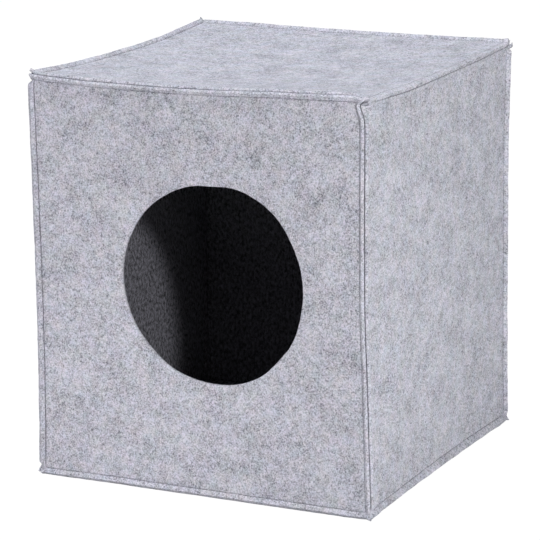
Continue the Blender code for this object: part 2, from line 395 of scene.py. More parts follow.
@dataclass(frozen=True)
class Cave:
    """The settled box, with the same sizes as in the part's own model.

    Args:
        width: The box over its seam ridges along x.
        depth: The same along y.
        height: The same along z.
        felt: The felt's thickness.
        allowance: How much felt is turned out into a seam.
        seam_gap: The room for the lining between a seam's midline and each layer of felt.
        sag_front: How far the top sags at its front edge.
        sag_back: How far it sags at its back edge.
        sag_left: How far it sags at its left edge.
        sag_right: How far it sags at its right edge.
        sag_middle: How much further it sags in the middle.
        draw_left_front: How far the left side is drawn in at its front edge.
        draw_left_back: The same at its back edge.
        draw_right_front: How far the right side is drawn in at its front edge.
        draw_right_back: The same at its back edge.
        draw_front: How far the front is drawn in.
        draw_back: How far the back is drawn in.
        draw_lean: How much more they are drawn in below the half height, as a share.
        sag_power: How fast the sag dies away below the top.
        floor_slope: Over what length the floor sinks from its seams to the ground.
        fold_radius: The radius of the felt's inner face where it folds into a seam.
        entrance_radius: The round entrance's radius.
        entrance_shift: How far right of the panel's middle its centre lies.
        entrance_rise: How far above the panel's middle its centre lies.
    """

    width: float = 0.330
    depth: float = 0.330
    height: float = 0.370
    felt: float = 0.0030
    allowance: float = 0.0056
    seam_gap: float = 0.00035
    sag_front: float = 0.0035
    sag_back: float = 0.0014
    sag_left: float = 0.0044
    sag_right: float = 0.0024
    sag_middle: float = 0.0025
    draw_left_front: float = 0.0022
    draw_left_back: float = 0.0018
    draw_right_front: float = 0.0025
    draw_right_back: float = 0.0014
    draw_front: float = 0.0008
    draw_back: float = 0.0016
    draw_lean: float = 0.3
    sag_power: float = 3.0
    floor_slope: float = 0.050
    fold_radius: float = 0.00375
    entrance_radius: float = 0.0882
    entrance_shift: float = 0.0157
    entrance_rise: float = 0.0089

    @property
    def half(self) -> Array:
        """Half the box between the panels' inner faces, along x, y and z."""
        reach = (self.seam_gap + self.allowance + self.felt) / math.sqrt(2.0)
        return np.array([self.width, self.depth, self.height]) / 2 - reach

    @property
    def floor_drop(self) -> float:
        """How far the floor sinks from its seams to the ground."""
        return (self.allowance + self.felt) / math.sqrt(2.0) - self.felt

    def halves(self, side: Side) -> tuple[float, float, float]:
        """A side's half width, half height and distance from the box's middle."""
        axes = (side.across, side.up, side.out)
        return tuple(float(abs(axis @ self.half)) for axis in axes)

    def seam_at(self, side: Side, axis: int, sign: float) -> Seam:
        """The seam along one edge of a side.

        Args:
            side: The side.
            axis: 0 for the edges at its ends across, 1 for those below and above.
            sign: Which of the two edges.

        Returns:
            The seam that the side shares with its neighbour there.
        """
        other = side.facing((side.up if axis else side.across) * sign)
        return next(seam for seam in SEAMS if {seam.first, seam.second} == {side, other})

    def settle(self, points: Array) -> Array:
        """Moves points of the straight box to where they lie in the slack one.

        Args:
            points: Points of the straight box, one row each.

        Returns:
            The same points in the slack box.
        """
        half = self.half
        middle = self.height / 2
        x, y, z = points.T
        across, along = x / half[0], y / half[1]
        lift = (z - middle + half[2]) / (2 * half[2])
        to_right, to_back = (1 + across) / 2, (1 + along) / 2

        sag = hump(across) * blend(self.sag_front, self.sag_back, to_back)
        sag += hump(along) * blend(self.sag_left, self.sag_right, to_right)
        sag += hump(across) * hump(along) * self.sag_middle
        sag *= np.maximum(lift, 0.0) ** self.sag_power

        drop = self.floor_drop * (1 - np.clip(lift, 0.0, 1.0))
        drop *= np.clip((half[0] - np.abs(x)) / self.floor_slope, 0.0, 1.0)
        drop *= np.clip((half[1] - np.abs(y)) / self.floor_slope, 0.0, 1.0)

        draw = 4 * lift * (1 - lift) * (1 + self.draw_lean * (1 - 2 * lift))
        draw = np.maximum(draw, 0.0)
        from_left = blend(self.draw_left_front, self.draw_left_back, to_back)
        from_right = blend(self.draw_right_front, self.draw_right_back, to_back)
        inward_x = blend(from_left, -from_right, to_right)
        inward_y = blend(self.draw_front, -self.draw_back, to_back) * hump(across)
        settled = np.stack([x + draw * inward_x, y + draw * inward_y, z - sag - drop], axis=-1)

        settled += self.offset(np.stack([across, along, 2 * lift - 1], axis=-1))
        settled[:, 2] = np.maximum(settled[:, 2], 0.0)
        return settled

    def offset(self, place: Array) -> Array:
        """How far the real seams and corners stand off the regular box.

        Args:
            place: Points as shares of the box from -1 to 1 along x, y and z.

        Returns:
            The offset of each point.
        """
        held = np.clip(place, -1.0, 1.0)
        total = np.zeros_like(held)
        for corner, shift in CORNER_SHIFTS.items():
            near = np.prod((1 + held * np.array(corner)) / 2, axis=1)
            total += near[:, None] * np.array(shift) * MM
        for seam in SEAMS:
            closeness = np.where(seam.along > 0.5, 1.0, (1 + held * seam.middle) / 2)
            near = np.prod(closeness, axis=1)
            share = (1 + held @ seam.along) / 2
            taper = ease(np.minimum(share, 1 - share) * WAVER_TAPER)
            waver = Ripple(WAVER_SEED + seam.number, length=0.075, height=0.10 * MM)
            for push, side, line in (
                (seam.push_first, seam.first, 0.0),
                (seam.push_second, seam.second, 5.0),
            ):
                stand = through((0.0, *push, 0.0), share) * MM
                stand += waver.at(share * WAVER_SPAN, line) * taper
                total += (near * stand)[:, None] * side.out
        for nudge in NUDGES:
            total += nudge.of((place - np.array(nudge.corner)) * self.half)
        return total


CAVE = Cave()


@dataclass(frozen=True)
class Fold:
    """A panel's plane with its four edges turned out into the seams.

    Args:
        cave: The box.
        side: Which of its sides this is.
        sink: How far a corner's tip sinks where both its edges are turned out, as a share.
        spread: How far outwards that pushes the tip, as a share.
        tip_lift: The least and the most that a tip is lifted off its neighbours, in millimetres.
        tip_reach: How far inside its corner a pull on the tip is felt.
        close_start: How far past the box's edge the felt starts to close up on its neighbour.
        close_length: Over what length it does so.
        slack_edge: How far inside its seams the slack has its full height.
        lump_edge: The same for the small lumps.
        step: The distance over which the sheet's slope is measured.
    """

    cave: Cave
    side: Side
    sink: float = 1.196
    spread: float = 0.218
    tip_lift: Pair = (0.2, 1.5)
    tip_reach: float = 7 * MM
    close_start: float = 2.6 * MM
    close_length: float = 2.0 * MM
    slack_edge: float = 0.045
    lump_edge: float = 0.012
    step: float = 0.02 * MM

    def seams(self, axis: int) -> tuple[Seam, Seam]:
        """The seams at the low and the high end of one of the panel's axes."""
        return self.cave.seam_at(self.side, axis, -1.0), self.cave.seam_at(self.side, axis, 1.0)

    def share(self, seam: Seam, axis: int, along: Array) -> Array:
        """Where a place along a panel's edge lies along its seam.

        Args:
            seam: The seam.
            axis: 0 for a seam at one end across the panel, 1 for one below or above.
            along: The place along the edge, from its middle.

        Returns:
            The share of the seam's length, from 0 to 1.
        """
        edge = self.side.across if axis else self.side.up
        half = self.cave.halves(self.side)[0 if axis else 1]
        return (1 + along / half * float(edge @ seam.along)) / 2

    def turn(self, axis: int, place: Array, along: Array) -> Array:
        """How far the nearer edge across an axis is turned out at each place.

        Args:
            axis: 0 for the edges at the ends across the panel, 1 for those below and above.
            place: The places on that axis.
            along: The places on the other axis.

        Returns:
            The turns, in radians.
        """
        low, high = self.seams(axis)
        turned_low = low.fold(self.side, self.share(low, axis, along))
        turned_high = high.fold(self.side, self.share(high, axis, along))
        return np.where(place < 0, turned_low, turned_high)

    def stand(self, axis: int, place: Array, along: Array) -> Array:
        """How far the ridge at the nearer edge stands out at each place.

        Args:
            axis: 0 for the edges at the ends across the panel, 1 for those below and above.
            place: The places on that axis.
            along: The places on the other axis.

        Returns:
            The shares of the seam allowance.
        """
        low, high = self.seams(axis)
        length = 2 * self.cave.halves(self.side)[0 if axis else 1]
        stand_low = low.stand(self.share(low, axis, along), length)
        stand_high = high.stand(self.share(high, axis, along), length)
        return np.where(place < 0, stand_low, stand_high)

    def start(self, turn: Array) -> Array:
        """How far inside the edge the felt starts to bend."""
        return (self.cave.fold_radius + self.cave.seam_gap) * np.tan(np.abs(turn) / 2)

    def bend(self, beyond: Array, turn: Array, stand: Array) -> tuple[Array, Array]:
        """Bends a strip out of its plane along an arc and on along a straight line.

        Args:
            beyond: The flat distance past the box's edge, negative inside.
            turn: The turn at each place, in radians.
            stand: How far the ridge stands out, as a share of the allowance.

        Returns:
            The place past the edge, and the height out of the plane.
        """
        radius = self.cave.fold_radius
        size = np.maximum(np.abs(turn), 1e-4)
        sign = np.where(turn < 0, -1.0, 1.0)
        start = self.start(size)
        arc = np.clip(beyond + start, 0.0, radius * size)
        reach = self.cave.allowance
        whole = reach + start - radius * size
        straight = (reach * stand - radius * np.tan(size / 2)) / whole
        rest = np.maximum(beyond + start - radius * size, 0.0) * straight
        level = np.minimum(beyond, -start) + radius * np.sin(arc / radius) + rest * np.cos(size)
        height = radius * (1 - np.cos(arc / radius)) + rest * np.sin(size)
        return level, height * sign

    def inner(self, across: Array, up: Array) -> Array:
        """The inner face, folded but not settled.

        Args:
            across: Flat places across the panel.
            up: Flat places up the panel.

        Returns:
            Points in the panel's own axes: across, up and out.
        """
        half_across, half_up, _ = self.cave.halves(self.side)
        reach = self.cave.allowance
        past_across = np.abs(across) - half_across
        past_up = np.abs(up) - half_up
        turn_across = self.turn(0, across, up)
        turn_up = self.turn(1, up, across)
        stand_across = self.stand(0, across, up)
        stand_up = self.stand(1, up, across)
        level_across, height_across = self.bend(past_across, turn_across, stand_across)
        level_up, height_up = self.bend(past_up, turn_up, stand_up)

        both = np.clip(past_across / reach, 0, 1.3) * np.clip(past_up / reach, 0, 1.3)
        pucker = both * reach * np.sin(turn_across) * np.sin(turn_up)
        height = height_across + height_up - self.sink * pucker
        height += self.lift(across, up) * both * MM
        spread = self.spread * pucker
        return np.stack(
            [
                np.sign(across) * (half_across + level_across + spread),
                np.sign(up) * (half_up + level_up + spread),
                height,
            ],
            axis=-1,
        )

    def lift(self, across: Array, up: Array) -> Array:
        """How far the nearest corner's tip is lifted off its neighbours.

        Args:
            across: Flat places across the panel.
            up: Flat places up the panel.

        Returns:
            The lifts, in millimetres.
        """
        draw = np.random.default_rng(TIP_SEED + self.side.number)
        lifts = draw.uniform(*self.tip_lift, 4)
        index = (across > 0).astype(int) + 2 * (up > 0).astype(int)
        return lifts[index]

    def place(self, across: Array, up: Array, depth: Array) -> Array:
        """Places points of the flat sheet in the settled cave.

        Args:
            across: Flat places across the panel.
            up: Flat places up the panel.
            depth: Heights above the inner face.

        Returns:
            One point in the cave for each.
        """
        step = self.step
        inner = self.inner(across, up)
        rise_across = self.inner(across + step, up) - self.inner(across - step, up)
        rise_up = self.inner(across, up + step) - self.inner(across, up - step)
        normal = np.cross(rise_across, rise_up)
        normal /= np.linalg.norm(normal, axis=1)[:, None]
        inner[:, 2] += self.slack(across, up)
        local = inner + normal * (depth - self.closing(across, up))[:, None]
        _, _, reach = self.cave.halves(self.side)
        local[:, 2] += reach + self.cave.seam_gap
        axes = np.stack([self.side.across, self.side.up, self.side.out])
        points = local @ axes + self.pull(across, up, axes)
        return self.cave.settle(points + np.array([0.0, 0.0, self.cave.height / 2]))

    def closing(self, across: Array, up: Array) -> Array:
        """How far the felt closes up on its neighbour between the lining and the cut edge.

        Args:
            across: Flat places across the panel.
            up: Flat places up the panel.

        Returns:
            The distance at each place.
        """
        total = np.zeros(np.shape(across))
        for axis, place, half in zip((0, 1), (across, up), self.cave.halves(self.side)[:2]):
            past = ease((np.abs(place) - half - self.close_start) / self.close_length)
            low, high = (self.cave.seam_gap - seam.gap * MM / 2 for seam in self.seams(axis))
            total = np.maximum(total, past * np.where(place < 0, low, high))
        return total

    def pull(self, across: Array, up: Array, axes: Array) -> Array:
        """How far each corner's tip is pulled aside by its own stitches.

        Args:
            across: Flat places across the panel.
            up: Flat places up the panel.
            axes: The panel's axes, one row each.

        Returns:
            The offset of each point in the cave.
        """
        half_across, half_up, _ = self.cave.halves(self.side)
        reach = self.tip_reach + self.cave.allowance
        near = ease((np.abs(across) - half_across + self.tip_reach) / reach)
        near = near * ease((np.abs(up) - half_up + self.tip_reach) / reach)
        total = np.zeros((len(across), 3))
        for corner, offset in CORNER_PULLS.items():
            local = axes @ np.array(corner, float)
            if local[2] > 0:
                here = (np.sign(across) == local[0]) & (np.sign(up) == local[1])
                more = np.array(TIP_PULLS.get((self.side, corner), (0.0, 0.0, 0.0)))
                total += (near * here)[:, None] * (np.array(offset) + more) * MM
        return total

    def slack(self, across: Array, up: Array) -> Array:
        """The unevenness of the slack felt between its seams.

        Args:
            across: Flat places across the panel.
            up: Flat places up the panel.

        Returns:
            How far each place stands out of the panel's plane.
        """
        half_across, half_up, _ = self.cave.halves(self.side)
        inside = np.minimum(half_across - np.abs(across), half_up - np.abs(up))
        number = self.side.number
        wave = Ripple(SLACK_SEED + number, length=0.140, height=0.45 * MM)
        small = Ripple(LUMP_SEED + number, length=0.030, height=0.06 * MM, waves=12)
        broad = wave.at(across, up)
        broad += DOMES[self.side] * MM * hump(across / half_across) * hump(up / half_up)
        lumps = small.at(across, up)
        return broad * ease(inside / self.slack_edge) + lumps * ease(inside / self.lump_edge)


# Flat cuts

def set_mode(mode: str) -> None:
    """Changes between object and edit mode."""
    bpy.ops.object.mode_set(mode=mode)


def drop_selection() -> None:
    """Deselects every object."""
    bpy.ops.object.select_all(action="DESELECT")


def read_points(mesh: bpy.types.Mesh) -> Array:
    """A mesh's points.

    Args:
        mesh: The mesh to read.

    Returns:
        One row for each point.
    """
    points = np.empty(len(mesh.vertices) * 3)
    mesh.vertices.foreach_get("co", points)
    return points.reshape(-1, 3)


def face_outwards() -> None:
    """Turns all faces of the shape in edit mode outwards."""
    bpy.ops.mesh.select_all(action="SELECT")
    bpy.ops.mesh.normals_make_consistent(inside=False)


def write_points(mesh: bpy.types.Mesh, points: Array) -> None:
    """Moves a mesh's points to new places, one row each."""
    mesh.vertices.foreach_set("co", np.asarray(points, np.float32).ravel())
    mesh.update()


def keep_place(mesh: bpy.types.Mesh, name: str, places: Array) -> None:
    """Stores a place per point, for the materials to read."""
    layer = mesh.attributes.new(name, "FLOAT_VECTOR", "POINT")
    layer.data.foreach_set("vector", np.asarray(places, np.float32).ravel())


@dataclass(frozen=True)
class Cut:
    """How finely a sheet is laid out, and what it is cut to.

    Args:
        thickness: How thick the sheet is.
        recess: How far its edge stays inside the felt's edge.
        spacing: The distance between rows away from the seams.
        rows: Distances inside the cut edge of the rows near it, in millimetres.
        edge_round: The radius of its cut edges, or nothing for square ones.
    """

    thickness: float
    recess: float
    spacing: float
    rows: tuple[float, ...]
    edge_round: float = 0.0


# The rows near a cut edge, in millimetres inside it
FELT_ROWS = (0.0, 0.7, 1.4, 2.1, 2.8, 3.5, 4.2, 4.9, 5.6, 6.3, 7.0, 7.7, 8.5, 9.5, 10.8)
LINING_ROWS = (0.0, 1.1, 2.2, 3.3, 4.4, 5.5, 6.8, 8.4)

# How near to a cut edge a point is still taken to lie on it
ON_EDGE = 0.01 * MM

# How far the hand-cut rim of the entrance stands off a true circle, in millimetres, every
# 15 degrees from the right hand side upwards
RIM_OFFSETS = (
    -0.7, -0.9, -1.0, 0.4, 0.6, 0.9, -0.9, 0.6, 1.1, 1.7, 1.4, 2.0,
    2.7, 3.3, 3.6, 2.8, 3.3, 2.5, 2.1, 2.0, 1.2, -0.8, -0.4, -1.1,
)


@dataclass
class FlatSheet:
    """A sheet cut flat, with its seam allowance all round, before it is folded.

    Args:
        name: The piece's name.
        fold: The fold that it goes into.
        cut: Its thickness and fineness.
    """

    name: str
    fold: Fold
    cut: Cut

    @property
    def has_entrance(self) -> bool:
        """True if the round entrance is cut in it."""
        return self.fold.side is Side.FRONT

    @property
    def reach(self) -> tuple[float, float]:
        """Half the cut's width and height."""
        half_across, half_up, _ = self.fold.cave.halves(self.fold.side)
        more = self.fold.cave.allowance - self.cut.recess
        return half_across + more, half_up + more

    def flat_size(self) -> tuple[float, float]:
        """The size of the flat cut."""
        across, up = self.reach
        return 2 * across, 2 * up

    def flat_area(self) -> float:
        """The area of the flat cut.

        Returns:
            The area, without the entrance.
        """
        width, height = self.flat_size()
        radius = self.fold.cave.entrance_radius
        return width * height - (math.pi * radius**2 if self.has_entrance else 0.0)

    def row_places(self, reach: float) -> Array:
        """The rows across one axis: close together near the cut edges, even between.

        Args:
            reach: How far the sheet reaches from its middle along the axis.

        Returns:
            The place of each row.
        """
        near = np.array(self.cut.rows) * MM
        inner = reach - near[-1]
        count = max(2, round(2 * inner / self.cut.spacing))
        middle = np.linspace(-inner, inner, count + 1)
        return np.concatenate([-(reach - near[:-1]), middle, (reach - near[:-1])[::-1]])

    def lay_grid(self) -> bpy.types.Object:
        """Lays out a sheet with no entrance.

        Returns:
            The flat sheet, still without thickness.
        """
        across, up = (self.row_places(reach) for reach in self.reach)
        bpy.ops.mesh.primitive_grid_add(
            x_subdivisions=len(across) - 1, y_subdivisions=len(up) - 1, size=1.0
        )
        sheet = bpy.context.active_object
        points = read_points(sheet.data)
        columns = np.rint((points[:, 0] + 0.5) * (len(across) - 1)).astype(int)
        lines = np.rint((points[:, 1] + 0.5) * (len(up) - 1)).astype(int)
        write_points(sheet.data, np.stack([across[columns], up[lines], 0 * points[:, 2]], axis=-1))
        return sheet

    def rim(self, angle: Array) -> Array:
        """The entrance's radius.

        Args:
            angle: Angles round its centre, in radians.

        Returns:
            The radius at each angle.
        """
        turns = np.append(np.array(RIM_OFFSETS), RIM_OFFSETS[0])
        offset = through(turns, (angle / (2 * math.pi)) % 1.0) * MM
        return self.fold.cave.entrance_radius + offset + self.cut.recess

    def lay_rings(self) -> bpy.types.Object:
        """Lays out a sheet in rings, from the entrance's rim to the cut edge.

        Returns:
            The flat sheet, still without thickness.
        """
        reach_across, reach_up = self.reach
        near = np.array(self.cut.rows) * MM
        per_side = [max(8, round(2 * reach / self.cut.spacing)) for reach in self.reach]
        count = 2 * (per_side[0] + per_side[1])
        inner_rows = round((min(self.reach) - self.fold.cave.entrance_radius) / self.cut.spacing)
        rows = inner_rows + len(near)

        bpy.ops.mesh.primitive_circle_add(vertices=count, radius=1.0, fill_type="NOTHING")
        sheet = bpy.context.active_object
        set_mode("EDIT")
        bpy.ops.mesh.select_all(action="SELECT")
        for _ in range(rows - 1):
            bpy.ops.mesh.extrude_region_move(TRANSFORM_OT_translate={"value": (0.0, 0.0, 1.0)})
        face_outwards()
        set_mode("OBJECT")

        points = read_points(sheet.data)
        turn = np.arctan2(-points[:, 0], points[:, 1]) / (2 * math.pi) * count
        index = np.rint(turn).astype(int) % count
        ring = np.rint(points[:, 2]).astype(int)
        corners = np.array([[1, -1], [1, 1], [-1, 1], [-1, -1]], float)
        unit = []
        for number in range(4):
            start, end = corners[number], corners[(number + 1) % 4]
            steps = per_side[1] if number % 2 == 0 else per_side[0]
            unit += [blend(start, end, step / steps) for step in range(steps)]
        unit = np.array(unit)

        centre = np.array([self.fold.cave.entrance_shift, self.fold.cave.entrance_rise])
        size = np.array([reach_across, reach_up])
        inset = np.where(ring < inner_rows, near[-1], 0.0)
        past = np.clip(ring - inner_rows, 0, len(near) - 1)
        inset = np.where(ring >= inner_rows, near[::-1][past], inset)
        outline = unit[index] * (size - inset[:, None])
        inner_outline = unit[index] * (size - near[-1])
        away = inner_outline - centre
        angle = np.arctan2(away[:, 1], away[:, 0])
        rim = centre + np.stack([np.cos(angle), np.sin(angle)], -1) * self.rim(angle)[:, None]
        share = (ring / inner_rows)[:, None]
        flat = np.where(ring[:, None] < inner_rows, blend(rim, outline, share), outline)
        write_points(sheet.data, np.column_stack([flat, np.zeros(len(flat))]))
        return sheet

    def lay_out(self) -> bpy.types.Object:
        """Cuts the sheet, gives it its thickness and rounds its cut edges.

        Returns:
            The sheet, flat.
        """
        drop_selection()
        sheet = self.lay_rings() if self.has_entrance else self.lay_grid()
        sheet.name = sheet.data.name = self.name
        set_mode("EDIT")
        bpy.ops.mesh.select_all(action="SELECT")
        bpy.ops.mesh.extrude_region_move(
            TRANSFORM_OT_translate={"value": (0.0, 0.0, self.cut.thickness)}
        )
        face_outwards()
        if self.cut.edge_round:
            self.round_cut_edges(sheet)
        set_mode("OBJECT")
        bpy.ops.object.shade_smooth()
        return sheet

    def on_cut(self, points: Array) -> Array:
        """Which points of the flat sheet lie on a cut edge.

        Args:
            points: The sheet's points, one row each.

        Returns:
            True or False for each.
        """
        across, up = self.reach
        found = np.abs(points[:, 0]) > across - ON_EDGE
        found |= np.abs(points[:, 1]) > up - ON_EDGE
        if self.has_entrance:
            cave = self.fold.cave
            away = points[:, :2] - np.array([cave.entrance_shift, cave.entrance_rise])
            angle = np.arctan2(away[:, 1], away[:, 0])
            found |= np.hypot(away[:, 0], away[:, 1]) < self.rim(angle) + ON_EDGE
        return found

    def round_cut_edges(self, sheet: bpy.types.Object) -> None:
        """Rounds the edges of the cut faces, from edit mode and back to it.

        Args:
            sheet: The sheet, flat and with its thickness.
        """
        bpy.ops.mesh.select_all(action="DESELECT")
        set_mode("OBJECT")
        mesh = sheet.data
        points = read_points(mesh)
        cut = self.on_cut(points)
        ends = np.empty(len(mesh.edges) * 2, int)
        mesh.edges.foreach_get("vertices", ends)
        ends = ends.reshape(-1, 2)
        level = np.abs(points[ends[:, 0], 2] - points[ends[:, 1], 2]) < ON_EDGE
        mesh.edges.foreach_set("select", cut[ends[:, 0]] & cut[ends[:, 1]] & level)
        bpy.context.tool_settings.mesh_select_mode = (False, True, False)
        set_mode("EDIT")
        bpy.ops.mesh.bevel(offset=self.cut.edge_round, segments=2, affect="EDGES")

    def hand_over(self, sheet: bpy.types.Object, node: str) -> None:
        """Attaches the finished sheet to the root body and hides the node of the frame that it
        dresses.

        Args:
            sheet: The sheet, folded and settled.
            node: The node of the frame that it dresses.
        """
        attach(sheet, "root")
        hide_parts(node)
        if self.has_entrance:
            self.flat_size()
            self.flat_area()
        else:
            self.flat_size()


# Materials

class NodeMaker:
    """Adds nodes to a tree and links them, left to right."""

    def __init__(self, tree: bpy.types.NodeTree) -> None:
        """Starts with an empty tree."""
        self.tree = tree
        tree.nodes.clear()

    def add(self, kind: str, settings: dict | None = None, **inputs: object) -> bpy.types.Node:
        """Adds a node.

        Args:
            kind: The node's type, without its ShaderNode prefix.
            settings: The node's own properties.
            **inputs: Its inputs, as a value or as a socket to link from. Spaces in an input's
                name are written as underscores, and a number after "i" names it by its place.

        Returns:
            The new node.
        """
        full = kind if kind.startswith("Node") else f"ShaderNode{kind}"
        node = self.tree.nodes.new(full)
        for name, value in (settings or {}).items():
            setattr(node, name, value)
        for name, value in inputs.items():
            key = int(name[1:]) if name[0] == "i" and name[1:].isdigit() else name.replace("_", " ")
            if isinstance(value, bpy.types.NodeSocket):
                self.tree.links.new(value, node.inputs[key])
            else:
                node.inputs[key].default_value = value
        return node

    def math(self, operation: str, first: object, second: object = 0.0) -> bpy.types.NodeSocket:
        """The result of a sum on one or two values."""
        return self.add("Math", {"operation": operation}, i0=first, i1=second).outputs[0]

    def scale(self, vector: object, by: object) -> bpy.types.NodeSocket:
        """A place stretched along each axis, or a colour times another."""
        return self.add("VectorMath", {"operation": "MULTIPLY"}, i0=vector, i1=by).outputs[0]

    def shift(self, vector: object, by: Triple) -> bpy.types.NodeSocket:
        """A place moved along each axis."""
        return self.add("VectorMath", {"operation": "ADD"}, i0=vector, i1=by).outputs[0]

    def turn(self, vector: object, angle: object) -> bpy.types.NodeSocket:
        """A place turned about its third axis."""
        settings = {"rotation_type": "Z_AXIS"}
        return self.add("VectorRotate", settings, Vector=vector, Angle=angle).outputs[0]

    def noise(self, vector: object, scale: float, detail: float, rough: float = 0.5) -> object:
        """A smooth noise.

        Args:
            vector: The place it is read at.
            scale: How many of its features fit in one unit.
            detail: How many finer noises are added to it.
            rough: How strong the finer ones are.

        Returns:
            One value from 0 to 1.
        """
        inputs = {"Vector": vector, "Scale": scale, "Detail": detail, "Roughness": rough}
        return self.add("TexNoise", **inputs).outputs[0]

    def span(self, value: object, low: float, high: float, to_low: float, to_high: float) -> object:
        """A value taken from one range to another and held there.

        Args:
            value: The value.
            low: The start of its own range.
            high: The end of its own range.
            to_low: What the start becomes.
            to_high: What the end becomes.

        Returns:
            The new value.
        """
        ranges = {"From_Min": low, "From_Max": high, "To_Min": to_low, "To_Max": to_high}
        return self.add("MapRange", Value=value, **ranges).outputs["Result"]

    def mix(self, share: object, first: object, second: object) -> bpy.types.NodeSocket:
        """A colour between two others.

        Args:
            share: 0 for the first colour, 1 for the second.
            first: The first colour, as red, green and blue or as a socket.
            second: The second colour.

        Returns:
            The mixed colour.
        """
        colours = [(*one, 1.0) if isinstance(one, tuple) else one for one in (first, second)]
        inputs = {"i0": share, "i6": colours[0], "i7": colours[1]}
        return self.add("Mix", {"data_type": "RGBA"}, **inputs).outputs[2]

    def surface(
        self, colour: object, height: object, strength: float, depth: float, **shading: float
    ) -> None:
        """Finishes a material with its colour and its relief.

        Args:
            colour: The base colour.
            height: The relief, as a value.
            strength: How strong the relief is.
            depth: How deep it is.
            **shading: Other inputs of the surface.
        """
        bump = self.add("Bump", Strength=strength, Distance=depth, Height=height)
        inputs = {"Base_Color": colour, "Normal": bump.outputs[0], **shading}
        shader = self.add("BsdfPrincipled", **inputs)
        self.add("OutputMaterial", Surface=shader.outputs[0])

    def seen_directly(self) -> bpy.types.NodeSocket:
        """Adds the nodes that tell the camera's rays from the others.

        Returns:
            One for what the camera sees, also in a mirror and through glass.
        """
        path = self.add("LightPath")
        seen = self.math("MAXIMUM", path.outputs["Is Camera Ray"], path.outputs["Is Glossy Ray"])
        return self.math("MAXIMUM", seen, path.outputs["Is Transmission Ray"])


def new_material(name: str) -> tuple[bpy.types.Material, NodeMaker]:
    """Starts a material.

    Args:
        name: The material's name.

    Returns:
        The material, and the maker of its nodes.
    """
    material = bpy.data.materials.new(name)
    material.use_nodes = True
    return material, NodeMaker(material.node_tree)


def new_group(name: str, takes: dict[str, str], gives: dict[str, str]) -> bpy.types.NodeTree:
    """A new shader node group with named sockets.

    Args:
        name: The group's name.
        takes: Its inputs, as name and socket type.
        gives: Its outputs, as name and socket type.

    Returns:
        The group's tree, still empty.
    """
    tree = bpy.data.node_groups.new(name, "ShaderNodeTree")
    for socket, kind in takes.items():
        tree.interface.new_socket(socket, in_out="INPUT", socket_type=kind)
    for socket, kind in gives.items():
        tree.interface.new_socket(socket, in_out="OUTPUT", socket_type=kind)
    return tree


VALUE, VECTOR = "NodeSocketFloat", "NodeSocketVector"

# The directions in which fibres lie, in degrees
FIBRE_TURNS = (8.0, -32.0, 52.0, -78.0)

# How close a noise is to its middle value where it draws a thin strand
STRAND_WIDTH = 0.07


def fibre_group() -> bpy.types.NodeTree:
    """Curly fibres that lie in a few directions: soft streaks about zero, and thin strands.

    Returns:
        The node group. It takes a place in millimetres and the fibres' length and width.
    """
    tree = new_group(
        "needled_fibres",
        {"Place": VECTOR, "Length": VALUE, "Width": VALUE},
        {"Streaks": VALUE, "Strands": VALUE},
    )
    maker = NodeMaker(tree)
    given = maker.add("NodeGroupInput")
    place = given.outputs["Place"]
    long = maker.math("DIVIDE", 1.0, given.outputs["Length"])
    wide = maker.math("DIVIDE", 1.0, given.outputs["Width"])
    pace = maker.add("CombineXYZ", X=long, Y=wide, Z=wide).outputs[0]
    total: object = 0.0
    strands: object = 0.0
    for number, degrees in enumerate(FIBRE_TURNS):
        drawn = maker.scale(maker.turn(place, math.radians(degrees)), pace)
        drawn = maker.shift(drawn, (3.7 * number, 9.1 * number, 5.3 * number))
        streak = maker.add(
            "TexNoise", Vector=drawn, Scale=1.0, Detail=1.0, Roughness=0.5, Distortion=0.35
        ).outputs[0]
        off = maker.math("SUBTRACT", streak, 0.5)
        total = maker.math("ADD", total, off)
        thin = maker.span(maker.math("ABSOLUTE", off), 0.0, STRAND_WIDTH, 1.0, 0.0)
        strands = maker.math("ADD", strands, thin)
    put = maker.add("NodeGroupOutput")
    tree.links.new(total, put.inputs["Streaks"])
    tree.links.new(strands, put.inputs["Strands"])
    return tree


def sheet_place(maker: NodeMaker) -> bpy.types.NodeSocket:
    """The place on the flat sheet, in millimetres."""
    place = maker.add("Attribute", {"attribute_name": "felt_place"}).outputs["Vector"]
    return maker.scale(place, (1000.0, 1000.0, 1000.0))


@dataclass(frozen=True)
class Mottle:
    """One noise in the felt's tone.

    Args:
        scale: How many of its features fit in one millimetre.
        detail: How many finer noises are added to it.
        rough: How strong the finer ones are.
        strength: How much of it goes into the tone.
    """

    scale: float
    detail: float
    rough: float
    strength: float

    def over(self, maker: NodeMaker, place: object) -> bpy.types.NodeSocket:
        """The noise about zero, at its strength."""
        noise = maker.noise(place, self.scale, self.detail, self.rough)
        return maker.math("MULTIPLY", maker.math("SUBTRACT", noise, 0.5), self.strength)


@dataclass(frozen=True)
class Fibres:
    """One layer of needled fibres.

    Args:
        length: The fibres' length in millimetres.
        width: Their width in millimetres.
        strength: How much of their streaks goes into the tone.
    """

    length: float
    width: float
    strength: float = 1.0

    def over(self, maker: NodeMaker, group: bpy.types.NodeTree, place: object) -> bpy.types.Node:
        """The fibre group's node with these sizes."""
        sizes = {"Length": self.length, "Width": self.width}
        return maker.add("Group", {"node_tree": group}, Place=place, **sizes)


